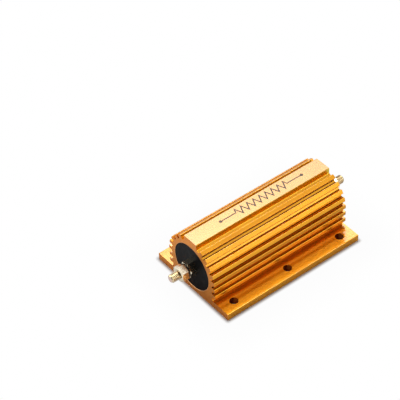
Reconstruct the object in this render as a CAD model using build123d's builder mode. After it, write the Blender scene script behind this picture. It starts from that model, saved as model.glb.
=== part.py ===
from build123d import *
import os
from math import cos, pi, radians, sin, tan

# Aluminium housed wirewound power resistor, 250 W size, in millimetres.
# The origin is the middle of the base's underside. +X runs along the extruded
# housing, from the left terminal to the right one, and +Z goes up through the top flat.

# Housing: the mounting base
housing_length = 110.0
flange_width = 15.7
base_thickness = 5.2
base_edge_radius = 0.4
base_root_radius = 0.8
screw_hole_diameter = 5.8
screw_end_margin = 10.5
screw_side_margin = 7.0
screws_per_row = 3

# Housing: the barrel around the element
bore_diameter = 34.0
bore_mouth_chamfer = 0.4
barrel_wall = 3.3
wall_under_bore = 3.3

# Housing: the cooling fins, radial ones above the bore axis and level ones below it
fin_depth = 2.9
fin_thickness = 3.0
fin_tip_radius = 0.4
radial_fin_count = 5
lowest_radial_fin_angle = 3.0
radial_fin_step_angle = 14.5
level_fin_count = 2
level_fin_pitch = 5.8

# Housing: the raised flat along the top of the barrel
flat_rise = 3.4
flat_width = 12.4
flat_edge_radius = 0.35
flat_root_radius = 1.1

# Black end discs that close the bore and centre the element
disc_thickness = 5.0
disc_setback = 0.4

# Element: ceramic core, with the wire layer and the ferrules as one wrap around it
core_diameter = 22.0
core_bore_diameter = 13.0
wrap_thickness = 0.7
ferrule_length = 9.0
round_fit_clearance = 0.05

# Terminal studs: M6, drawn at the pitch diameter where the nuts run on the thread
stud_diameter = 6.0
stud_pitch_diameter = 5.35
stud_reach = 17.0
free_thread_gap = 0.3
stud_tip_chamfer = 0.8
stud_head_thickness = 2.5

# Nuts and spring washers, each turned by hand to an angle of its own
nut_across_flats = 10.0
nut_face_diameter = 9.2
nut_thickness = 5.0
nut_chamfer_angle = 30.0
nut_mouth_chamfer = 0.4
washer_diameter = 9.9
washer_thickness = 1.2
washer_bore_clearance = 0.2
washer_split = 1.1
inner_nut_turn = {"left": 16.0, "right": 24.0}
terminal_nut_turn = {"left": 35.0, "right": 8.0}
washer_turn = {"left": 140.0, "right": 60.0}

# Radii and places that follow from the sizes above
half_length = housing_length / 2
bore_radius = bore_diameter / 2
bore_height = wall_under_bore + bore_radius
barrel_radius = bore_radius + barrel_wall
base_width = 2 * (barrel_radius + flange_width)
fin_reach = barrel_radius + fin_depth
flat_height = bore_height + barrel_radius + flat_rise
lowest_radial_tip_height = bore_height + fin_reach * sin(radians(lowest_radial_fin_angle))
disc_radius = bore_radius - round_fit_clearance
disc_face = half_length - disc_setback
disc_back = disc_face - disc_thickness
core_radius = core_diameter / 2
wrap_bore_radius = core_radius + round_fit_clearance
wrap_radius = wrap_bore_radius + wrap_thickness
ferrule_mouth = disc_back - ferrule_length
core_end = disc_back - wrap_thickness
stud_radius = stud_diameter / 2
stud_hole_radius = stud_radius + round_fit_clearance
stud_end = half_length + stud_reach
nut_bore_radius = stud_pitch_diameter / 2 + round_fit_clearance
hexagon_corner_radius = nut_across_flats / 2 / cos(pi / 6)
corner_drop = (hexagon_corner_radius - nut_face_diameter / 2) * tan(radians(nut_chamfer_angle))
washer_seat = disc_face + nut_thickness
terminal_nut_seat = washer_seat + washer_thickness
free_thread_start = terminal_nut_seat + nut_thickness + free_thread_gap
screw_pitch = (housing_length - 2 * screw_end_margin) / (screws_per_row - 1)
screw_row_spacing = base_width - 2 * screw_side_margin
bore_axis = Axis((0, 0, bore_height), (1, 0, 0))
below = (Align.CENTER, Align.MAX)
outermost = {"left": 0, "right": -1}

os.makedirs("parts", exist_ok=True)


def write_piece(piece, name):
    """Label a finished piece and write it to its own file."""
    piece.label = name
    export_step(piece, f"parts/{name}.step")


def plane_across(side, distance):
    """The plane across the bore axis, this far from the middle, that looks out of one end."""
    sign = -1 if side == "left" else 1
    return Plane(origin=(sign * distance, 0, bore_height), x_dir=(0, sign, 0), z_dir=(sign, 0, 0))


def plane_along(side, distance):
    """The plane through the bore axis, with its own x running out of one end from there."""
    sign = -1 if side == "left" else 1
    return Plane(origin=(sign * distance, 0, bore_height), x_dir=(sign, 0, 0), z_dir=(0, -sign, 0))


def is_flat_root(edge):
    """Whether a long edge of the housing lies where a side of the flat leaves the barrel."""
    middle = edge.center()
    below_flat = abs(abs(middle.Y) - flat_width / 2) < 0.01
    return below_flat and bore_height < middle.Z < bore_height + barrel_radius


def is_base_root(edge):
    """Whether a long edge of the housing lies where the barrel meets the base."""
    middle = edge.center()
    return abs(abs(middle.Y) - barrel_radius) < 0.01 and abs(middle.Z - base_thickness) < 0.01


def is_bore_mouth(edge):
    """Whether a round edge of the housing is one end of its bore."""
    return abs(edge.radius - bore_radius) < 0.01


# Finned housing: one extruded section, cut to length, then bored, drilled and mouthed
with BuildPart() as housing:
    with BuildSketch(Plane.YZ.offset(-half_length)):
        with Locations((0, bore_height)):
            Circle(barrel_radius)
        Rectangle(2 * barrel_radius, bore_height, align=below, mode=Mode.SUBTRACT)
        with Locations((0, bore_height)):
            Rectangle(2 * barrel_radius, bore_height - base_thickness / 2, align=below)
        with Locations((0, base_thickness)):
            RectangleRounded(base_width, base_thickness, base_edge_radius, align=below)
        with Locations((0, flat_height)):
            RectangleRounded(flat_width, barrel_radius + flat_rise, flat_edge_radius, align=below)
        with Locations((0, bore_height)):
            radial_fin_sweep = radial_fin_step_angle * (radial_fin_count - 1)
            highest_radial_fin_angle = lowest_radial_fin_angle + radial_fin_sweep
            for start_angle in (lowest_radial_fin_angle, 180 - highest_radial_fin_angle):
                with PolarLocations(
                    fin_reach / 2, radial_fin_count, start_angle, radial_fin_sweep, endpoint=True
                ):
                    RectangleRounded(fin_reach, fin_thickness, fin_tip_radius)
        for number in range(level_fin_count):
            with Locations((0, lowest_radial_tip_height - (number + 1) * level_fin_pitch)):
                RectangleRounded(2 * fin_reach, fin_thickness, fin_tip_radius)
    extrude(amount=housing_length)
    fillet(housing.edges().filter_by(Axis.X).filter_by(is_flat_root), flat_root_radius)
    fillet(housing.edges().filter_by(Axis.X).filter_by(is_base_root), base_root_radius)
    with BuildSketch(Plane.YZ.offset(-half_length)):
        with Locations((0, bore_height)):
            Circle(bore_radius)
    extrude(amount=housing_length, mode=Mode.SUBTRACT)
    chamfer(housing.edges().filter_by(GeomType.CIRCLE).filter_by(is_bore_mouth), bore_mouth_chamfer)
    with BuildSketch(Plane.XY):
        with GridLocations(screw_pitch, screw_row_spacing, screws_per_row, 2):
            Circle(screw_hole_diameter / 2)
    extrude(amount=base_thickness, mode=Mode.SUBTRACT)
write_piece(housing.part, "housing")

# Ceramic core: a tube that carries the winding
with BuildPart() as ceramic_core:
    with BuildSketch(Plane.YZ.offset(-core_end)):
        with Locations((0, bore_height)):
            Circle(core_radius)
            Circle(core_bore_diameter / 2, mode=Mode.SUBTRACT)
    extrude(amount=2 * core_end)
write_piece(ceramic_core.part, "ceramic_core")

# Winding: one close-wound layer from ferrule to ferrule
with BuildPart() as resistance_winding:
    with BuildSketch(Plane.YZ.offset(-ferrule_mouth)):
        with Locations((0, bore_height)):
            Circle(wrap_radius)
            Circle(wrap_bore_radius, mode=Mode.SUBTRACT)
    extrude(amount=2 * ferrule_mouth)
write_piece(resistance_winding.part, "resistance_winding")

# Filling: cast between the wrapped core and the bore, up to the backs of the discs
with BuildPart() as insulating_filling:
    with BuildSketch(Plane.YZ.offset(-disc_back)):
        with Locations((0, bore_height)):
            Circle(disc_radius)
            Circle(wrap_radius + round_fit_clearance, mode=Mode.SUBTRACT)
    extrude(amount=2 * disc_back)
write_piece(insulating_filling.part, "insulating_filling")

for side in ("left", "right"):

    # Ferrule: a drawn cup pressed over the end of the core
    with BuildPart() as ferrule:
        with BuildSketch(plane_across(side, ferrule_mouth)):
            Circle(wrap_radius)
        extrude(amount=ferrule_length)
        with BuildSketch(plane_across(side, ferrule_mouth)):
            Circle(wrap_bore_radius)
        extrude(amount=ferrule_length - wrap_thickness, mode=Mode.SUBTRACT)
        with BuildSketch(plane_across(side, core_end)):
            Circle(stud_hole_radius)
        extrude(amount=wrap_thickness, mode=Mode.SUBTRACT)
    write_piece(ferrule.part, f"{side}_ferrule")

    # End disc: moulded black, a thick ring around the terminal stud
    with BuildPart() as end_disc:
        with BuildSketch(plane_across(side, disc_back)):
            Circle(disc_radius)
            Circle(stud_hole_radius, mode=Mode.SUBTRACT)
        extrude(amount=disc_thickness)
    write_piece(end_disc.part, f"{side}_end_disc")

    # Terminal stud: its hexagon head sits in the core's bore, behind the ferrule
    with BuildPart() as terminal_stud:
        with BuildSketch(plane_across(side, core_end - stud_head_thickness)):
            RegularPolygon(hexagon_corner_radius, 6)
        extrude(amount=stud_head_thickness)
        with BuildSketch(plane_across(side, core_end)):
            Circle(stud_pitch_diameter / 2)
        extrude(amount=free_thread_start - core_end)
        with BuildSketch(plane_across(side, free_thread_start)):
            Circle(stud_radius)
        extrude(amount=stud_end - free_thread_start)
        chamfer(terminal_stud.edges().group_by(Axis.X)[outermost[side]], stud_tip_chamfer)
    write_piece(terminal_stud.part, f"{side}_terminal_stud")

    # Hexagon nuts: the inner one clamps the disc, the outer one clamps a lead
    for nut_name, seat, turn in (
        ("inner_nut", disc_face, inner_nut_turn[side]),
        ("terminal_nut", terminal_nut_seat, terminal_nut_turn[side]),
    ):
        with BuildPart() as hexagon_nut:
            with BuildSketch(plane_across(side, seat)):
                RegularPolygon(hexagon_corner_radius, 6, rotation=turn)
            extrude(amount=nut_thickness)
            with BuildSketch(plane_along(side, seat)):
                with BuildLine():
                    Polyline(
                        (0, nut_bore_radius),
                        (0, hexagon_corner_radius),
                        (nut_thickness - corner_drop, hexagon_corner_radius),
                        (nut_thickness, nut_face_diameter / 2),
                        (nut_thickness, nut_bore_radius + nut_mouth_chamfer),
                        (nut_thickness - nut_mouth_chamfer, nut_bore_radius),
                        close=True,
                    )
                make_face()
            revolve(axis=bore_axis, mode=Mode.INTERSECT)
        write_piece(hexagon_nut.part, f"{side}_{nut_name}")

    # Spring washer: split ring, flattened between the two nuts
    washer_bore_radius = stud_radius + washer_bore_clearance
    with BuildPart() as spring_washer:
        with BuildSketch(plane_across(side, washer_seat)):
            Circle(washer_diameter / 2)
            Circle(washer_bore_radius, mode=Mode.SUBTRACT)
            with PolarLocations(washer_diameter / 4, 1, washer_turn[side]):
                Rectangle(washer_diameter / 2, washer_split, mode=Mode.SUBTRACT)
        extrude(amount=washer_thickness)
    write_piece(spring_washer.part, f"{side}_spring_washer")
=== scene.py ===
"""Looks of the aluminium housed power resistor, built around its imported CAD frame.

Everything is in metres in the row's own frame: +X along the extruded housing, +Z up through
its top flat, and the origin in the middle of the base's underside. The sizes of the finishes,
the mark, the threads and the studs are in millimetres.
"""

import logging
import math
from collections.abc import Callable, Sequence
from dataclasses import dataclass
from enum import Enum

import bmesh
import bpy
from mathutils import Matrix, Quaternion, Vector


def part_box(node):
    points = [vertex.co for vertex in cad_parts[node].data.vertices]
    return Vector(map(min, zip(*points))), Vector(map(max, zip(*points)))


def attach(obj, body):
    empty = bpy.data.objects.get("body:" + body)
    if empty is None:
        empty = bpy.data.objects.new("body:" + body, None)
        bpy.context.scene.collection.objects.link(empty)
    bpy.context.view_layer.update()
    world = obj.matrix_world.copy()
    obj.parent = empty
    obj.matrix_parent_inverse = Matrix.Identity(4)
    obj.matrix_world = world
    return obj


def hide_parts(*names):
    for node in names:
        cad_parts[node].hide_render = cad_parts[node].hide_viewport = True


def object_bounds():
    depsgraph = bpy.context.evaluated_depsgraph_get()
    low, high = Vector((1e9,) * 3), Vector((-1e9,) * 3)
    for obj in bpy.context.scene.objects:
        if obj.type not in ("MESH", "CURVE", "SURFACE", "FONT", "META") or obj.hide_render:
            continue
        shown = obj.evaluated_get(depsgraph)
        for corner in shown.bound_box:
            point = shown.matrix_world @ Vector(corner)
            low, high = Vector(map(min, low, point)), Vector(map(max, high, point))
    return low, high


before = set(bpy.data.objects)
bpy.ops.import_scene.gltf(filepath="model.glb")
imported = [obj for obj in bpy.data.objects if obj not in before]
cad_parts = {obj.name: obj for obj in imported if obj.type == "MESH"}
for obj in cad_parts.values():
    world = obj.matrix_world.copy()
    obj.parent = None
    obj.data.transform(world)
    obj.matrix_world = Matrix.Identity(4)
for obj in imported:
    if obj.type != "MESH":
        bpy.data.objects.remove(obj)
cad_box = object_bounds()

LOG = logging.getLogger("resistor")
MM = 0.001
# Height of the bore's axis, which the terminals share, over the base's underside.
AXIS_HEIGHT = 20.3

Colour = tuple[float, float, float]
Triple = tuple[float, float, float]
# Where a smooth step starts, and where it is complete.
Fade = tuple[float, float]
# Depth of a fine relief in metres, and the share of it that is used.
Relief = tuple[float, float]

WHITE: Colour = (1.0, 1.0, 1.0)


class Side(Enum):
    """An end of the housing, with the sign of X there."""

    LEFT = -1
    RIGHT = 1

    @property
    def label(self) -> str:
        """The word that the CAD nodes of this end start with."""
        return self.name.lower()


# Shader graph: expressions on values, and one method for every other node.


class Value:
    """A number in a shader graph, which Python's operators turn into Math nodes."""

    def __init__(self, graph: "Graph", socket: bpy.types.NodeSocket) -> None:
        """Wrap one output socket of a graph.

        Args:
            graph: The graph that the socket belongs to.
            socket: The output socket that gives the number.
        """
        self.graph = graph
        self.socket = socket

    def __add__(self, other: "Number") -> "Value":
        """Sum of both."""
        return self.graph.math("ADD", self, other)

    def __radd__(self, other: "Number") -> "Value":
        """Sum with a plain number on the left."""
        return self.graph.math("ADD", other, self)

    def __sub__(self, other: "Number") -> "Value":
        """Difference of both."""
        return self.graph.math("SUBTRACT", self, other)

    def __rsub__(self, other: "Number") -> "Value":
        """Difference with a plain number on the left."""
        return self.graph.math("SUBTRACT", other, self)

    def __mul__(self, other: "Number") -> "Value":
        """Product of both."""
        return self.graph.math("MULTIPLY", self, other)

    def __rmul__(self, other: "Number") -> "Value":
        """Product with a plain number on the left."""
        return self.graph.math("MULTIPLY", other, self)

    def __truediv__(self, other: "Number") -> "Value":
        """Quotient of both."""
        return self.graph.math("DIVIDE", self, other)

    def __rtruediv__(self, other: "Number") -> "Value":
        """Quotient with a plain number on the left."""
        return self.graph.math("DIVIDE", other, self)

    def __mod__(self, other: "Number") -> "Value":
        """Remainder that is never negative for a positive divisor."""
        return self.graph.math("FLOORED_MODULO", self, other)

    def __rmod__(self, other: "Number") -> "Value":
        """Remainder with a plain number on the left."""
        return self.graph.math("FLOORED_MODULO", other, self)

    def __abs__(self) -> "Value":
        """Size without its sign."""
        return self.graph.math("ABSOLUTE", self)

    def smaller(self, other: "Number") -> "Value":
        """The smaller of both."""
        return self.graph.math("MINIMUM", self, other)

    def larger(self, other: "Number") -> "Value":
        """The larger of both."""
        return self.graph.math("MAXIMUM", self, other)

    def centred(self) -> "Value":
        """A value between 0 and 1, such as a noise, moved to lie around 0."""
        return self - 0.5

    def rise(self, start: float, end: float) -> "Value":
        """Smooth step of the value.

        Args:
            start: Where the step is still 0.
            end: Where it has reached 1. It may lie below start.

        Returns:
            A value between 0 and 1.
        """
        at_low, at_high = (0.0, 1.0) if start < end else (1.0, 0.0)
        step = self.graph.node(
            "ShaderNodeMapRange",
            {"interpolation_type": "SMOOTHSTEP"},
            {
                "Value": self,
                "From Min": min(start, end),
                "From Max": max(start, end),
                "To Min": at_low,
                "To Max": at_high,
            },
        )
        return Value(self.graph, step.outputs["Result"])


Number = float | Value
Link = Number | bpy.types.NodeSocket | Sequence[float]


@dataclass(frozen=True)
class Noise:
    """A smooth noise around 0.5, with its scale in waves per millimetre."""

    scale: float
    detail: float = 2.0
    rough: float = 0.5
    stretch: Triple | None = None


class Graph:
    """The node tree of one material or world."""

    def __init__(self, tree: bpy.types.NodeTree) -> None:
        """Take over a node tree and empty it.

        Args:
            tree: The node tree to fill.
        """
        self.tree = tree
        tree.nodes.clear()

    def node(
        self,
        kind: str,
        settings: dict[str, object] | None = None,
        sockets: dict[str | int, Link] | None = None,
    ) -> bpy.types.Node:
        """Add one node.

        Args:
            kind: The node's type.
            settings: Its own settings, set first.
            sockets: Values or links of its input sockets, by name or number.

        Returns:
            The new node.
        """
        made = self.tree.nodes.new(kind)
        for name, setting in (settings or {}).items():
            setattr(made, name, setting)
        for key, given in (sockets or {}).items():
            socket = made.inputs[key]
            if isinstance(given, Value):
                self.tree.links.new(given.socket, socket)
            elif isinstance(given, bpy.types.NodeSocket):
                self.tree.links.new(given, socket)
            elif socket.type == "RGBA" and len(given) == 3:
                socket.default_value = (*given, 1.0)
            else:
                socket.default_value = given
        return made

    def math(self, operation: str, *operands: Number) -> Value:
        """Add a Math node.

        Args:
            operation: The node's operation.
            operands: Its inputs, in order.

        Returns:
            The node's result.
        """
        made = self.node("ShaderNodeMath", {"operation": operation}, dict(enumerate(operands)))
        return Value(self, made.outputs[0])

    def distance(self, first: Value, second: Value) -> Value:
        """Length of the line whose parts at a right angle are two values."""
        return self.math("SQRT", first * first + second * second)

    def wave(self, phase: Value) -> Value:
        """Sine of a phase in radians, moved to lie between 0 and 1."""
        return self.math("SINE", phase) * 0.5 + 0.5

    def mix(self, share: Number, first: Link, second: Link) -> bpy.types.NodeSocket:
        """Mix two colours.

        Args:
            share: How much of the second colour is taken, from 0 to 1.
            first: Colour where the share is 0.
            second: Colour where the share is 1.

        Returns:
            The mixed colour.
        """
        made = self.node("ShaderNodeMix", {"data_type": "RGBA"}, {0: share, 6: first, 7: second})
        return made.outputs[2]

    def place(self) -> bpy.types.NodeSocket:
        """Point on the surface in the row frame, in millimetres."""
        point = self.node("ShaderNodeTexCoord").outputs["Object"]
        return self.stretched(point, (1 / MM, 1 / MM, 1 / MM))

    def stretched(self, vector: bpy.types.NodeSocket, factors: Triple) -> bpy.types.NodeSocket:
        """Scale a vector along each axis by its own factor.

        Args:
            vector: The vector to scale.
            factors: One factor for each axis.

        Returns:
            The scaled vector.
        """
        sockets = {0: vector, 1: factors}
        return self.node("ShaderNodeVectorMath", {"operation": "MULTIPLY"}, sockets).outputs[0]

    def parts(self, vector: bpy.types.NodeSocket) -> tuple[Value, Value, Value]:
        """The three parts of a vector."""
        split = self.node("ShaderNodeSeparateXYZ", None, {0: vector})
        return tuple(Value(self, output) for output in split.outputs)

    def facing(self) -> tuple[Value, Value, Value]:
        """The three parts of the surface's normal, in the row frame."""
        return self.parts(self.node("ShaderNodeTexCoord").outputs["Normal"])

    def noise(self, place: bpy.types.NodeSocket, wanted: Noise) -> Value:
        """Read a noise at every point of the surface.

        Args:
            place: The points, in millimetres.
            wanted: The noise's settings.

        Returns:
            The noise's value.
        """
        if wanted.stretch is not None:
            place = self.stretched(place, wanted.stretch)
        sockets = {
            "Vector": place,
            "Scale": wanted.scale,
            "Detail": wanted.detail,
            "Roughness": wanted.rough,
        }
        made = self.node("ShaderNodeTexNoise", {"noise_dimensions": "3D"}, sockets)
        return Value(self, made.outputs[0])

    def bump(self, height: Value, relief: Relief) -> bpy.types.NodeSocket:
        """Normal of a surface with a fine relief.

        Args:
            height: The relief's height, from 0 to 1.
            relief: Its depth and strength.

        Returns:
            The bumped normal.
        """
        depth, strength = relief
        sockets = {"Height": height, "Distance": depth, "Strength": strength}
        return self.node("ShaderNodeBump", None, sockets).outputs["Normal"]


class Surface(Graph):
    """A material's graph, which ends in one Principled shader."""

    def __init__(self, name: str) -> None:
        """Make the material and empty its graph.

        Args:
            name: The material's name.
        """
        self.material = bpy.data.materials.new(name)
        self.material.use_nodes = True
        super().__init__(self.material.node_tree)

    def finish(self, sockets: dict[str, Link]) -> bpy.types.Material:
        """Close the graph with its shader and output.

        Args:
            sockets: Values or links of the Principled shader.

        Returns:
            The finished material.
        """
        shader = self.node("ShaderNodeBsdfPrincipled", None, sockets)
        self.node("ShaderNodeOutputMaterial", None, {"Surface": shader.outputs[0]})
        return self.material


# Finishes. A value named ..._gloss says how far something changes the roughness.


@dataclass(frozen=True)
class CircuitMark:
    """Generic laser mark on the top flat: the zigzag symbol of a resistor between two dots."""

    start: float = -30.0
    end: float = 37.0
    middle: float = 0.6
    peak_pitch: float = 5.0
    peaks: int = 8
    height: float = 6.0
    stroke: float = 0.9
    dot_radius: float = 1.2
    edge: float = 0.06
    joint_fade: float = 0.05
    lead_fade: float = 0.1
    under_flat: Fade = (0.05, 0.02)
    colour: Colour = (0.17, 0.12, 0.09)
    cover: float = 0.9

    def inside(self, distance: Value, reach: float) -> Value:
        """1 within a reach and 0 beyond it, with the strokes' soft edge between."""
        return distance.rise(reach + self.edge, reach - self.edge)

    def mask(self, surface: Surface, x: Value, y: Value, z: Value, flat_height: float) -> Value:
        """Where the laser has burnt the dye.

        Args:
            surface: The graph of the marked surface.
            x: Place along the housing, in millimetres.
            y: Place across it.
            z: Height.
            flat_height: Height of the top flat.

        Returns:
            1 inside the strokes and 0 beside them.
        """
        half_length = (self.end - self.start) / 2
        half_zigzag = self.peaks * self.peak_pitch / 2 + self.peak_pitch / 4
        along = x - (self.start + self.end) / 2
        across = y - self.middle
        # A triangle wave between -1 and 1, times the zigzag's half height.
        phase = (along / self.peak_pitch) % 1.0
        wave = (abs(phase.centred()) * 4.0 - 1.0) * (self.height / 2)
        slope = math.hypot(1.0, 2.0 * self.height / self.peak_pitch)
        zigzag = self.inside(abs(across - wave) / slope, self.stroke / 2)
        within = abs(along).rise(half_zigzag, half_zigzag - self.joint_fade)
        leads = self.inside(abs(across), self.stroke / 2)
        beyond = abs(along).rise(half_zigzag - self.joint_fade, half_zigzag)
        short = abs(along).rise(half_length, half_length - self.lead_fade)
        from_end = surface.distance(abs(along) - half_length, across)
        dots = self.inside(from_end, self.dot_radius)
        below, above = self.under_flat
        on_flat = z.rise(flat_height - below, flat_height - above)
        return (zigzag * within).larger(leads * beyond * short).larger(dots) * on_flat


@dataclass(frozen=True)
class HousingMasks:
    """Where the housing's skin differs, each as a value from 0 to 1. Several of them carry painted
    shade and one a painted highlight.
    """

    cut: Value
    crevice_shaded: Value
    hole_shaded: Value
    on_flat: Value
    lip: Value
    bore_shaded: Value
    # The thin ring of painted highlight round the bore's rim.
    rim: Value
    marked: Value
    level: Value


@dataclass(frozen=True)
class HousingGrain:
    """The noises of the housing's skin, each around 0.5."""

    die_lines: Value
    broad_lines: Value
    clouds: Value
    etch: Value
    saw_wander: Value


@dataclass(frozen=True)
class GoldAnodising:
    """Dyed oxide on the extruded and cut aluminium housing, with holes bored through its base. Its
    colour also carries painted shade in the grooves' corners, on the holes' walls, across the
    bore's mouth and on the top flat, and a painted highlight round the bore's rim.
    """

    light: Colour = (0.95, 0.44, 0.010)
    deep: Colour = (0.80, 0.30, 0.004)
    # Painted shade, nearly black, for the grooves' corners.
    crevice_shade: Colour = (0.02, 0.005, 0.0003)
    # Painted shade, dark red-brown, for the walls of the holes through the base.
    hole_shade: Colour = (0.34, 0.060, 0.001)
    # Painted light: the top flat is coloured darker and paler than the dye, which sets the key
    # lamp's reflection there to a duller cream.
    painted_flat_tone: Colour = (0.56, 0.26, 0.03)
    beside_flat: Colour = (0.68, 0.54, 0.03)
    cut_end: Colour = (0.88, 0.33, 0.05)
    # Painted highlight, pale, in a thin ring round the bore's rim.
    rim_highlight: Colour = (0.95, 0.62, 0.36)
    # Painted shade, nearly black, on the bore's wall and inner chamfer.
    bore_shade: Colour = (0.012, 0.006, 0.003)
    mark: CircuitMark = CircuitMark()

    # Grain of the skin and the sawn ends.
    die_lines: Noise = Noise(3.2, 3.0, 0.6, (0.004, 1.0, 1.0))
    broad_lines: Noise = Noise(0.7, 1.0, 0.5, (0.002, 1.0, 1.0))
    clouds: Noise = Noise(0.06)
    etch: Noise = Noise(5.0, 3.0, 0.65)
    saw_wander: Noise = Noise(9.0, 2.0, 0.5, (0.0, 0.35, 0.02))
    die_share: float = 0.5
    broad_share: float = 0.6
    cloud_share: float = 0.5
    dye_shift: float = -0.3
    dye_fade: Fade = (0.15, 0.85)
    saw_share: float = 0.5
    saw_shade: float = 0.72
    etch_depth: float = 0.05
    relief: Relief = (0.00003, 0.15)

    # Where the skin differs, including where shade and a highlight are painted.
    cut_fade: Fade = (0.5, 0.68)
    level_fade: Fade = (0.96, 0.995)
    # Reach, fade and samples of the occlusion that paints shade into the grooves' corners; the
    # neck gets less of it.
    crevice_reach: float = 1.15
    crevice_fade: Fade = (0.90, 0.64)
    crevice_samples: int = 12
    neck_reach: float = 9.4
    neck_fade: float = 0.8
    neck_share: float = 0.85
    lip_reach: float = 6.3
    lip_fade: float = 0.5
    lip_share: float = 0.8
    under_flat: Fade = (0.35, 0.15)
    # Where the holes are, whose walls carry painted shade.
    hole_places: tuple[float, float] = (44.5, 29.0)
    hole_radius: float = 2.9
    hole_fade: float = 0.15
    # Reach of the painted shade across the bore's mouth, which also drops metal and coat there and
    # makes it rougher.
    bore_shade_radius: float = 17.25
    bore_shade_fade: float = 0.15
    # The thin ring round the bore's rim that takes the painted highlight.
    rim_radius: float = 17.6
    rim_fade: float = 0.12
    rim_highlight_share: float = 0.5

    # Gloss, metal and the clear coat that stands for the oxide's sealing.
    roughness: float = 0.31
    cut_roughness: float = 0.52
    die_line_gloss: float = 0.10
    etch_gloss: float = 0.02
    mark_gloss: float = 0.25
    bore_shade_gloss: float = 0.5
    metal_share: float = 0.85
    mark_metal_loss: float = 0.8
    coat: float = 0.072
    level_coat: float = 0.45
    mark_coat_loss: float = 0.9
    cut_coat_loss: float = 0.4
    coat_roughness: float = 0.12
    coat_ior: float = 2.6

    def masks(
        self, surface: Surface, place: bpy.types.NodeSocket, flat_height: float
    ) -> HousingMasks:
        """Find the places where the skin differs.

        Args:
            surface: The graph of the finish.
            place: Point on the surface, in millimetres.
            flat_height: Height of the top flat.

        Returns:
            The masks.
        """
        x, y, z = surface.parts(place)
        along, _, up = surface.facing()
        # Painted shade: occlusion darkens the colour in the grooves' corners, less near the neck.
        openness = surface.node(
            "ShaderNodeAmbientOcclusion",
            {"samples": self.crevice_samples, "only_local": True},
            {"Distance": self.crevice_reach * MM},
        )
        closed = Value(surface, openness.outputs["AO"]).rise(*self.crevice_fade)
        neck = abs(y).rise(self.neck_reach + self.neck_fade, self.neck_reach)
        hole_x, hole_y = self.hole_places
        off_hole = abs(x).smaller(abs(abs(x) - hole_x))
        from_hole = surface.distance(abs(y) - hole_y, off_hole)
        from_axis = surface.distance(y, z - AXIS_HEIGHT)
        # Painted shade across the bore's mouth.
        bore_shaded = from_axis.rise(self.bore_shade_radius, self.bore_shade_radius - self.bore_shade_fade)
        within_rim = from_axis.rise(self.rim_radius, self.rim_radius - self.rim_fade)
        below, above = self.under_flat
        return HousingMasks(
            cut=abs(along).rise(*self.cut_fade),
            crevice_shaded=closed * (1.0 - neck * self.neck_share),
            hole_shaded=from_hole.rise(self.hole_radius + self.hole_fade, self.hole_radius),
            on_flat=z.rise(flat_height - below, flat_height - above),
            lip=abs(y).rise(self.lip_reach + self.lip_fade, self.lip_reach),
            bore_shaded=bore_shaded,
            rim=within_rim * (1.0 - bore_shaded),
            marked=self.mark.mask(surface, x, y, z, flat_height),
            level=up.rise(*self.level_fade),
        )

    def colour(
        self, surface: Surface, masks: HousingMasks, grain: HousingGrain
    ) -> bpy.types.NodeSocket:
        """Colour the skin, from the dye up to the mark, with painted shade and a painted highlight
        laid in between.

        Args:
            surface: The graph of the finish.
            masks: Where the skin differs.
            grain: The skin's noises.

        Returns:
            The colour.
        """
        lines = grain.die_lines * self.die_share + grain.broad_lines * self.broad_share
        depth = lines + grain.clouds * self.cloud_share + self.dye_shift
        skin = surface.mix(depth.rise(*self.dye_fade), self.light, self.deep)
        paler = surface.mix(masks.lip * self.lip_share, skin, self.beside_flat)
        # Painted light on the top flat, against the key lamp's reflection.
        topped = surface.mix(masks.on_flat, paler, self.painted_flat_tone)
        # Painted shade in the grooves' corners.
        crevice_darkened = surface.mix(masks.crevice_shaded, topped, self.crevice_shade)
        # Painted shade on the holes' walls.
        hole_darkened = surface.mix(masks.hole_shaded, crevice_darkened, self.hole_shade)
        shaded_end = tuple(part * self.saw_shade for part in self.cut_end)
        sawn = surface.mix(grain.saw_wander * self.saw_share, self.cut_end, shaded_end)
        dyed = surface.mix(masks.cut, hole_darkened, sawn)
        # Painted highlight in a thin ring round the bore's rim.
        rim_brightened = surface.mix(masks.rim * self.rim_highlight_share, dyed, self.rim_highlight)
        # Painted shade on the bore's wall and inner chamfer.
        bore_darkened = surface.mix(masks.bore_shaded, rim_brightened, self.bore_shade)
        return surface.mix(masks.marked * self.mark.cover, bore_darkened, self.mark.colour)

    def gloss(self, masks: HousingMasks, grain: HousingGrain) -> Value:
        """Roughness of the skin.

        Args:
            masks: Where the skin differs.
            grain: The skin's noises.

        Returns:
            The roughness.
        """
        lined = self.roughness + grain.die_lines.centred() * self.die_line_gloss
        dull = lined + grain.etch.centred() * self.etch_gloss
        sawn = dull + masks.cut * (self.cut_roughness - self.roughness)
        return sawn + masks.marked * self.mark_gloss + masks.bore_shaded * self.bore_shade_gloss

    def coating(self, masks: HousingMasks) -> Value:
        """Weight of the clear coat, which is strongest on level ground.

        Args:
            masks: Where the skin differs.

        Returns:
            The coat's weight.
        """
        shaded = masks.crevice_shaded.larger(masks.hole_shaded).larger(masks.bore_shaded)
        clear = (masks.level * (self.level_coat - self.coat) + self.coat) * (1.0 - shaded)
        unmarked = 1.0 - masks.marked * self.mark_coat_loss
        return unmarked * (1.0 - masks.cut * self.cut_coat_loss) * clear

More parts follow.
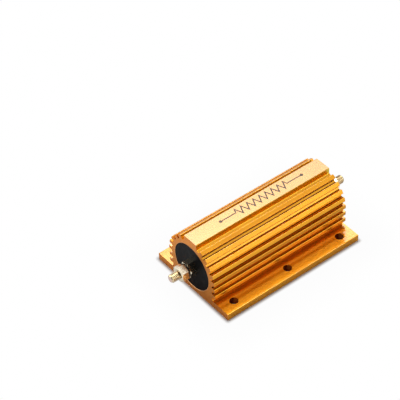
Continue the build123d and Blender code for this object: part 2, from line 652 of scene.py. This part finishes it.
    def material(self, flat_height: float) -> bpy.types.Material:
        """Make the finish.

        Args:
            flat_height: Height of the top flat in millimetres.

        Returns:
            The material.
        """
        surface = Surface("gold_anodised_aluminium")
        place = surface.place()
        masks = self.masks(surface, place, flat_height)
        grain = HousingGrain(
            die_lines=surface.noise(place, self.die_lines),
            broad_lines=surface.noise(place, self.broad_lines),
            clouds=surface.noise(place, self.clouds),
            etch=surface.noise(place, self.etch),
            saw_wander=surface.noise(place, self.saw_wander),
        )
        lines = grain.die_lines * (1.0 - masks.cut) + grain.saw_wander * masks.cut
        unmarked = 1.0 - masks.marked * self.mark_metal_loss
        return surface.finish(
            {
                "Base Color": self.colour(surface, masks, grain),
                "Metallic": (1.0 - masks.bore_shaded) * unmarked * self.metal_share,
                "Roughness": self.gloss(masks, grain),
                "Normal": surface.bump(lines + grain.etch * self.etch_depth, self.relief),
                "Coat Weight": self.coating(masks),
                "Coat Roughness": self.coat_roughness,
                "Coat IOR": self.coat_ior,
            }
        )


@dataclass(frozen=True)
class BlackMoulding:
    """Matt black moulded disc with faint turning rings and dust."""

    base: Colour = (0.004, 0.004, 0.005)
    worn: Colour = (0.009, 0.009, 0.009)
    ring_phase: float = 14.0
    ring_depth: float = 0.25
    grain: Noise = Noise(2.6, 4.0, 0.6)
    grain_share: float = 0.3
    grain_gloss: float = 0.2
    smudge: Noise = Noise(0.22)
    smudge_fade: Fade = (0.45, 0.75)
    smudge_share: float = 0.6
    smudge_gloss: float = -0.08
    relief: Relief = (0.00003, 0.5)
    roughness: float = 0.46
    specular: float = 0.07

    def material(self) -> bpy.types.Material:
        """Make the finish.

        Returns:
            The material.
        """
        surface = Surface("black_moulding")
        place = surface.place()
        _, y, z = surface.parts(place)
        rings = surface.wave(surface.distance(y, z - AXIS_HEIGHT) * self.ring_phase)
        grain = surface.noise(place, self.grain)
        smudge = surface.noise(place, self.smudge).rise(*self.smudge_fade)
        wear = smudge * self.smudge_share + grain * self.grain_share
        roughness = self.roughness + grain.centred() * self.grain_gloss
        return surface.finish(
            {
                "Base Color": surface.mix(wear, self.base, self.worn),
                "Roughness": roughness + smudge * self.smudge_gloss,
                "Normal": surface.bump(grain + rings * self.ring_depth, self.relief),
                "Specular IOR Level": self.specular,
            }
        )


@dataclass(frozen=True)
class PlatedSteel:
    """Plating with turning lines, a few dull spots and, if wanted, a painted reflection tint on
    faces that look along the axis.
    """

    name: str = "plated_steel"
    bright: Colour = (0.90, 0.81, 0.62)
    dull: Colour = (0.55, 0.42, 0.27)
    roughness: float = 0.19
    # Painted reflection: faces that look along the axis take this tint, in this share.
    end_face_reflection: Colour = (0.86, 0.80, 0.68)
    end_face_reflection_share: float = 0.0
    faced_fade: Fade = (0.80, 0.96)
    faced_gloss: float = 0.16
    turning: Noise = Noise(1.6, 3.0, 0.6, (6.0, 0.6, 0.6))
    turning_gloss: float = 0.12
    spots: Noise = Noise(1.1, 3.0, 0.55)
    spot_fade: Fade = (0.48, 0.72)
    spot_share: float = 0.5
    spot_gloss: float = 0.10
    relief: Relief = (0.00002, 0.2)

    def material(self) -> bpy.types.Material:
        """Make the finish.

        Returns:
            The material.
        """
        surface = Surface(self.name)
        place = surface.place()
        turning = surface.noise(place, self.turning)
        spots = surface.noise(place, self.spots).rise(*self.spot_fade)
        along, _, _ = surface.facing()
        # Painted reflection tint on faces that look along the axis.
        reflected_end = abs(along).rise(*self.faced_fade) * self.end_face_reflection_share
        plated = surface.mix(spots * self.spot_share, self.bright, self.dull)
        turned_gloss = self.roughness + turning.centred() * self.turning_gloss
        spotted_gloss = turned_gloss + spots * self.spot_gloss
        return surface.finish(
            {
                "Base Color": surface.mix(reflected_end, plated, self.end_face_reflection),
                "Metallic": 1.0,
                "Roughness": spotted_gloss + reflected_end * self.faced_gloss,
                "Normal": surface.bump(turning, self.relief),
            }
        )


@dataclass(frozen=True)
class WoundWire:
    """Dull resistance wire wound turn against turn."""

    light: Colour = (0.46, 0.42, 0.37)
    dark: Colour = (0.16, 0.14, 0.12)
    turn_pitch: float = 0.6
    turn_share: float = 0.8
    stain: Noise = Noise(0.4, 3.0)
    stain_share: float = 0.5
    stain_gloss: float = 0.1
    relief: Relief = (0.00025, 0.8)
    roughness: float = 0.4
    metal_share: float = 0.9

    def material(self) -> bpy.types.Material:
        """Make the finish.

        Returns:
            The material.
        """
        surface = Surface("wound_resistance_wire")
        place = surface.place()
        x, _, _ = surface.parts(place)
        turn = surface.wave(x * (2 * math.pi / self.turn_pitch))
        stain = surface.noise(place, self.stain)
        stained = surface.mix(stain * self.stain_share, self.light, self.dark)
        return surface.finish(
            {
                "Base Color": surface.mix(turn * self.turn_share, self.dark, stained),
                "Metallic": self.metal_share,
                "Roughness": self.roughness + stain * self.stain_gloss,
                "Normal": surface.bump(turn, self.relief),
            }
        )


@dataclass(frozen=True)
class MineralBody:
    """Fired or cast mineral, matt and finely grained."""

    name: str
    light: Colour
    dark: Colour
    grain: Noise
    roughness: float = 0.8
    grain_share: float = 0.6
    grain_gloss: float = 0.2
    patches: Noise = Noise(0.15)
    patch_share: float = 0.5
    dark_fade: Fade = (0.25, 0.85)
    relief: Relief = (0.00008, 0.6)

    def material(self) -> bpy.types.Material:
        """Make the finish.

        Returns:
            The material.
        """
        surface = Surface(self.name)
        place = surface.place()
        grain = surface.noise(place, self.grain)
        patches = surface.noise(place, self.patches)
        darker = (grain * self.grain_share + patches * self.patch_share).rise(*self.dark_fade)
        return surface.finish(
            {
                "Base Color": surface.mix(darker, self.light, self.dark),
                "Roughness": self.roughness + grain.centred() * self.grain_gloss,
                "Normal": surface.bump(grain, self.relief),
            }
        )


# Meshes.


def new_piece(
    name: str, shape: bmesh.types.BMesh, material: bpy.types.Material
) -> bpy.types.Object:
    """Turn a finished bmesh into a piece that rides on the resistor.

    Args:
        name: The piece's name.
        shape: Its geometry in the row frame, in metres. It is freed.
        material: The material it wears.

    Returns:
        The new object.
    """
    bmesh.ops.recalc_face_normals(shape, faces=shape.faces)
    mesh = bpy.data.meshes.new(name)
    shape.to_mesh(mesh)
    shape.free()
    piece = bpy.data.objects.new(name, mesh)
    bpy.context.scene.collection.objects.link(piece)
    mesh.materials.append(material)
    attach(piece, "root")
    return piece


def circle(radius: float, segments: int) -> list[tuple[float, float]]:
    """Points of a circle around the origin.

    Args:
        radius: The circle's radius.
        segments: How many points it has.

    Returns:
        The points, in order.
    """
    angles = (2 * math.pi * step / segments for step in range(segments))
    return [(radius * math.cos(angle), radius * math.sin(angle)) for angle in angles]


def turned(
    profile: Sequence[tuple[float, float]], segments: int, into: bmesh.types.BMesh
) -> None:
    """Turn a profile around the X axis into a closed solid.

    Args:
        profile: Pairs of place along X and radius, from one end to the other, which is capped.
        segments: Facets around.
        into: The bmesh that receives the solid.
    """
    rings = [
        [into.verts.new((along, *point)) for point in circle(radius, segments)]
        for along, radius in profile
    ]
    for near, far in zip(rings, rings[1:]):
        for step in range(segments):
            after = (step + 1) % segments
            into.faces.new((near[step], near[after], far[after], far[step]))
    into.faces.new(rings[0])
    into.faces.new(list(reversed(rings[-1])))


@dataclass(frozen=True)
class ThreadSizes:
    """M6 thread on the free end of a terminal stud, with places from the housing's middle."""

    pitch: float = 1.0
    outer_radius: float = 3.0
    root_radius: float = 2.42
    start: float = 65.55
    end: float = 72.0
    tip_chamfer: float = 0.8
    steps_per_turn: int = 40
    # The crest's end and the root's ends, as shares of the pitch.
    crest_end: float = 0.125
    root_span: tuple[float, float] = (0.44, 0.69)
    # What the cuts at both ends take off: turns before the start, and in all.
    turns_before: float = 1.5
    spare_turns: int = 3
    cut_tolerance: float = 1e-5
    rim_tolerance: float = 1e-3

    def profile(self) -> tuple[tuple[float, float], ...]:
        """Corners of one turn's section.

        Returns:
            Pairs of place from the turn's start and radius. The next turn closes the section.
        """
        root_start, root_end = (self.pitch * share for share in self.root_span)
        return (
            (0.0, self.outer_radius),
            (self.pitch * self.crest_end, self.outer_radius),
            (root_start, self.root_radius),
            (root_end, self.root_radius),
        )


@dataclass(frozen=True)
class StudSizes:
    """The plain part of a terminal stud, with places from the housing's middle."""

    head_start: float = 46.4
    head_end: float = 48.9
    head_corner_radius: float = 5.77
    head_sides: int = 6
    shank_radius: float = 2.675
    segments: int = 48
    # How far the shank runs into the head and into the thread.
    overlap: float = 0.05


def cut_square(thread: bmesh.types.BMesh, sizes: ThreadSizes, place: float, outwards: int) -> None:
    """Cut a thread across its axis and close the cut.

    Args:
        thread: The thread, which loses what lies outside.
        sizes: The thread's sizes.
        place: Where the cut is.
        outwards: Sign of X on the side that is lost.
    """
    bmesh.ops.bisect_plane(
        thread,
        geom=[*thread.verts, *thread.edges, *thread.faces],
        plane_co=(place, 0, 0),
        plane_no=(outwards, 0, 0),
        clear_outer=True,
        dist=sizes.cut_tolerance,
    )
    rim = [
        edge
        for edge in thread.edges
        if edge.is_boundary
        and all(abs(vertex.co.x - place) < sizes.rim_tolerance for vertex in edge.verts)
    ]
    bmesh.ops.holes_fill(thread, edges=rim, sides=0)


def helical_thread(sizes: ThreadSizes, into: bmesh.types.BMesh) -> None:
    """Build a right-handed thread around the X axis, cut square, with a chamfered tip.

    Args:
        sizes: The thread's sizes.
        into: The bmesh that receives the thread.
    """
    profile = sizes.profile()
    per_turn = sizes.steps_per_turn
    turns = math.ceil((sizes.end - sizes.start) / sizes.pitch) + sizes.spare_turns
    first = sizes.start - sizes.turns_before * sizes.pitch
    thread = bmesh.new()
    columns = []
    for step in range(turns * per_turn + 1):
        angle = 2 * math.pi * step / per_turn
        column = []
        for offset, radius in profile:
            along = first + offset + sizes.pitch * step / per_turn
            limit = sizes.outer_radius - sizes.tip_chamfer + max(sizes.end - along, 0.0)
            kept = min(radius, limit)
            point = (along, kept * math.cos(angle), kept * math.sin(angle))
            column.append(thread.verts.new(point))
        columns.append(column)
    for step in range(len(columns) - 1 - per_turn):
        here, beside = list(columns[step]), list(columns[step + 1])
        here.append(columns[step + per_turn][0])
        beside.append(columns[step + 1 + per_turn][0])
        for row in range(len(profile)):
            thread.faces.new((here[row], beside[row], beside[row + 1], here[row + 1]))
    cut_square(thread, sizes, sizes.start, -1)
    cut_square(thread, sizes, sizes.end, 1)
    loose = [vertex for vertex in thread.verts if not vertex.link_faces]
    bmesh.ops.delete(thread, geom=loose, context="VERTS")
    holder = bpy.data.meshes.new("thread_holder")
    thread.to_mesh(holder)
    thread.free()
    into.from_mesh(holder)
    bpy.data.meshes.remove(holder)


# Sub-assemblies.


def dress(node: str, material: bpy.types.Material) -> None:
    """Give a CAD node its finish.

    Args:
        node: The CAD node's name.
        material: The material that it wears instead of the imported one.
    """
    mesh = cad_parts[node].data
    mesh.materials.clear()
    mesh.materials.append(material)
    LOG.info("%s wears %s", node, material.name)


@dataclass
class Housing:
    """The finned, gold-anodised extrusion."""

    finish: GoldAnodising = GoldAnodising()

    def build(self) -> None:
        """Dress the extrusion, with the mark on its top flat."""
        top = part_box("housing")[1].z / MM
        dress("housing", self.finish.material(top))


@dataclass
class Element:
    """The wound ceramic core, its ferrules and the filling, all inside the bore."""

    core: MineralBody = MineralBody(
        "fired_ceramic", (0.86, 0.83, 0.77), (0.66, 0.61, 0.54), Noise(1.4, 5.0, 0.65)
    )
    filling: MineralBody = MineralBody(
        "cast_filling", (0.66, 0.63, 0.57), (0.42, 0.39, 0.34), Noise(3.2, 5.0, 0.65), 0.9
    )
    wire: WoundWire = WoundWire()
    cups: PlatedSteel = PlatedSteel(
        "drawn_ferrule_steel", (0.56, 0.55, 0.53), (0.34, 0.32, 0.30), 0.34
    )

    def build(self) -> None:
        """Dress every hidden node of the element."""
        dress("ceramic_core", self.core.material())
        dress("insulating_filling", self.filling.material())
        dress("resistance_winding", self.wire.material())
        cup_finish = self.cups.material()
        for side in Side:
            dress(f"{side.label}_ferrule", cup_finish)


@dataclass
class Terminals:
    """Both ends' discs, studs, nuts and spring washers."""

    thread: ThreadSizes = ThreadSizes()
    stud: StudSizes = StudSizes()
    disc: BlackMoulding = BlackMoulding()
    plating: PlatedSteel = PlatedSteel()
    stud_plating: PlatedSteel = PlatedSteel(
        "yellow_plated_steel",
        (0.80, 0.67, 0.38),
        (0.38, 0.27, 0.11),
        0.22,
        # Painted reflection: a pinkish tint on the studs' faces that look along the axis.
        (0.74, 0.56, 0.50),
        0.9,
    )
    spring: PlatedSteel = PlatedSteel(
        "dark_spring_steel", (0.10, 0.085, 0.07), (0.04, 0.035, 0.03), 0.42
    )

    def build(self) -> None:
        """Dress the discs, nuts and washers, and put threaded studs in place of the plain ones."""
        disc_finish = self.disc.material()
        plated = self.plating.material()
        yellow_plated = self.stud_plating.material()
        sprung = self.spring.material()
        for side in Side:
            dress(f"{side.label}_end_disc", disc_finish)
            dress(f"{side.label}_inner_nut", plated)
            dress(f"{side.label}_terminal_nut", plated)
            dress(f"{side.label}_spring_washer", sprung)
            self.build_stud(side, yellow_plated)

    def build_stud(self, side: Side, plated: bpy.types.Material) -> None:
        """Build one threaded stud in place of the CAD's plain one.

        Args:
            side: The end that it stands out of.
            plated: The plating that it wears.
        """
        node = f"{side.label}_terminal_stud"
        low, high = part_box(node)
        axis_height = (low.z + high.z) / 2
        solid = bmesh.new()
        sizes = self.stud
        head_ends = (sizes.head_start, sizes.head_end)
        shank_ends = (sizes.head_end - sizes.overlap, self.thread.start + sizes.overlap)
        head = [(place, sizes.head_corner_radius) for place in head_ends]
        shank = [(place, sizes.shank_radius) for place in shank_ends]
        turned(head, sizes.head_sides, solid)
        turned(shank, sizes.segments, solid)
        helical_thread(self.thread, solid)
        facing = Matrix.Rotation(0.0 if side is Side.RIGHT else math.pi, 4, "Z")
        into_place = Matrix.Translation((0, 0, axis_height)) @ facing @ Matrix.Scale(MM, 4)
        bmesh.ops.transform(solid, matrix=into_place, verts=solid.verts)
        piece = new_piece(f"{side.label}_threaded_stud", solid, plated)
        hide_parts(node)
        LOG.info("%s has %d faces", piece.name, len(piece.data.polygons))


# Studio.


@dataclass(frozen=True)
class Softbox:
    """A rectangular studio lamp that looks at the object, rolled about its line of sight."""

    name: str
    towards: Triple
    distance: float
    size: tuple[float, float]
    radiance: float
    roll: float = 0.0

    def build(self, target: Vector) -> None:
        """Place the lamp.

        Args:
            target: The point that it is aimed at.
        """
        lamp = bpy.data.lights.new(self.name, "AREA")
        lamp.shape = "RECTANGLE"
        lamp.size, lamp.size_y = self.size
        lamp.energy = self.radiance * math.pi * lamp.size * lamp.size_y
        holder = bpy.data.objects.new(self.name, lamp)
        bpy.context.scene.collection.objects.link(holder)
        direction = Vector(self.towards).normalized()
        holder.location = target + direction * self.distance
        rolled = Quaternion((0.0, 0.0, 1.0), math.radians(self.roll))
        holder.rotation_euler = (direction.to_track_quat("Z", "Y") @ rolled).to_euler()


@dataclass
class Studio:
    """Pale floor with a raised rim, even surround and softboxes."""

    # Radius and height of each ring of the floor, from its middle out to its rim.
    floor_rings: tuple[tuple[float, float], ...] = (
        (3.2, 0.0),
        (3.6, 0.06),
        (3.85, 0.25),
        (4.0, 0.5),
        (4.0, 0.8),
    )
    floor_segments: int = 96
    floor_drop: float = 0.00002
    floor_colour: Colour = (0.75, 0.75, 0.75)
    floor_glow: float = 0.9
    # How far the floor's shade reaches from the base, in millimetres: as the camera sees it,
    # first near and then far, and as metal mirrors it.
    shade_near: float = 3.0
    shade_near_share: float = 0.96
    shade_far: float = 40.0
    shade_far_share: float = 0.04
    shade_mirrored: float = 45.0
    surround: float = 0.08
    lamps: tuple[Softbox, ...] = (
        Softbox("key_softbox", (0.447, 0.559, 0.699), 0.9, (0.34, 0.13), 3.2, 29.2),
        Softbox("overhead_softbox", (0.33, 0.33, 0.88), 0.9, (0.40, 0.40), 5.3),
        Softbox("top_fill", (0.40, -0.30, 0.85), 0.9, (0.54, 0.54), 1.15),
        Softbox("front_high", (0.44, -0.67, 0.59), 0.9, (0.30, 0.20), 2.3),
        Softbox("front_middle", (0.44, -0.80, 0.40), 0.9, (0.30, 0.20), 3.6),
        Softbox("front_low", (0.44, -0.88, 0.19), 0.9, (0.30, 0.20), 1.3),
        Softbox("left_softbox", (-0.70, 0.55, 0.45), 0.9, (0.62, 0.62), 2.6),
    )

    def build(self) -> None:
        """Build the floor, the surround and the lamps."""
        low, high = cad_box
        target = Vector(((low.x + high.x) / 2, (low.y + high.y) / 2, (low.z + high.z) / 2))
        self.build_floor()
        self.build_surround()
        for lamp in self.lamps:
            lamp.build(target)
        bpy.context.scene.view_settings.view_transform = "Standard"

    def build_floor(self) -> None:
        """Lay a large dish just under the base, whose rim stands behind it in low views."""
        ground = bmesh.new()
        rings = [
            [ground.verts.new((*point, height)) for point in circle(radius, self.floor_segments)]
            for radius, height in self.floor_rings
        ]
        ground.faces.new(rings[0])
        for inner, outer in zip(rings, rings[1:]):
            for step in range(self.floor_segments):
                after = (step + 1) % self.floor_segments
                ground.faces.new((inner[step], outer[step], outer[after], inner[after]))
        mesh = bpy.data.meshes.new("floor")
        ground.to_mesh(mesh)
        ground.free()
        mesh.materials.append(self.paper())
        floor = bpy.data.objects.new("floor", mesh)
        floor.location.z = -self.floor_drop
        bpy.context.scene.collection.objects.link(floor)

    def paper(self) -> bpy.types.Material:
        """Make the floor's finish: white to the camera, with a shade round the base.

        Returns:
            The material.
        """
        surface = Surface("pale_floor")
        paper = surface.node("ShaderNodeBsdfDiffuse", None, {"Color": self.floor_colour})
        glow = surface.node("ShaderNodeEmission", None, {"Color": WHITE, "Strength": 1.0})
        gap = self.gap_to_base(surface)
        camera, mirrored = self.rays(surface)
        near = gap.rise(0.0, self.shade_near) * self.shade_near_share
        shown = camera * (near + gap.rise(0.0, self.shade_far) * self.shade_far_share)
        reflected = mirrored * gap.rise(0.0, self.shade_mirrored) * self.floor_glow
        sockets = {0: shown.larger(reflected), 1: paper.outputs[0], 2: glow.outputs[0]}
        both = surface.node("ShaderNodeMixShader", None, sockets)
        surface.node("ShaderNodeOutputMaterial", None, {"Surface": both.outputs[0]})
        return surface.material

    @staticmethod
    def gap_to_base(surface: Surface) -> Value:
        """Measure on the floor from the outline of the base.

        Args:
            surface: The graph of the floor's finish.

        Returns:
            The distance in millimetres, which is 0 under the base.
        """
        _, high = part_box("housing")
        x, y, _ = surface.parts(surface.place())
        beyond_x = (abs(x) - high.x / MM).larger(0.0)
        beyond_y = (abs(y) - high.y / MM).larger(0.0)
        return surface.distance(beyond_x, beyond_y)

    @staticmethod
    def rays(graph: Graph) -> tuple[Value, Value]:
        """Tell apart the rays that show the background.

        Args:
            graph: The graph that asks.

        Returns:
            1 for the camera's own rays, and 1 for those in metal or through glass.
        """
        path = graph.node("ShaderNodeLightPath")
        camera, glossy, through = (
            Value(graph, path.outputs[f"Is {kind} Ray"])
            for kind in ("Camera", "Glossy", "Transmission")
        )
        return camera, glossy.larger(through)

    def build_surround(self) -> None:
        """Light the object evenly from all round."""
        world = bpy.data.worlds.new("surround")
        bpy.context.scene.world = world
        world.use_nodes = True
        graph = Graph(world.node_tree)
        sockets = {"Color": WHITE, "Strength": self.surround}
        light = graph.node("ShaderNodeBackground", None, sockets)
        graph.node("ShaderNodeOutputWorld", None, {"Surface": light.outputs[0]})


@dataclass(frozen=True)
class PhotoCamera:
    """The camera that a fit to the base, flat, holes and bore of the photograph gives."""

    azimuth: float = -38.59
    elevation: float = 44.82
    roll: float = -1.35
    place: Triple = (-0.4626, -0.5788, 0.7451)
    lens: float = 143.95
    shift: tuple[float, float] = (-0.145, 0.10)

    def axes(self) -> Matrix:
        """Work out how the camera is turned.

        Returns:
            The rotation, whose columns point right, up and back.
        """
        azimuth, elevation, roll = map(math.radians, (self.azimuth, self.elevation, self.roll))
        level = math.cos(elevation)
        back = Vector((math.sin(azimuth) * level, -math.cos(azimuth) * level, math.sin(elevation)))
        right = Vector((math.cos(azimuth), math.sin(azimuth), 0.0))
        up = back.cross(right)
        rolled_right = right * math.cos(roll) + up * math.sin(roll)
        rolled_up = up * math.cos(roll) - right * math.sin(roll)
        return Matrix((rolled_right, rolled_up, back)).transposed().to_4x4()

    def build(self) -> None:
        """Make the camera and hand it to the scene."""
        data = bpy.data.cameras.new("photo_camera")
        data.lens = self.lens
        data.shift_x, data.shift_y = self.shift
        camera = bpy.data.objects.new("photo_camera", data)
        camera.matrix_world = Matrix.Translation(self.place) @ self.axes()
        bpy.context.scene.collection.objects.link(camera)
        bpy.context.scene.camera = camera


def main() -> None:
    """Build the studio, the camera and every sub-assembly."""
    logging.basicConfig(level=logging.INFO, format="%(name)s: %(message)s")
    builders: tuple[tuple[str, Callable[[], None]], ...] = (
        ("studio", Studio().build),
        ("camera", PhotoCamera().build),
        ("housing", Housing().build),
        ("element", Element().build),
        ("terminals", Terminals().build),
    )
    for name, build in builders:
        build()
        LOG.info("built the %s", name)


if __name__ == "__main__":
    main()
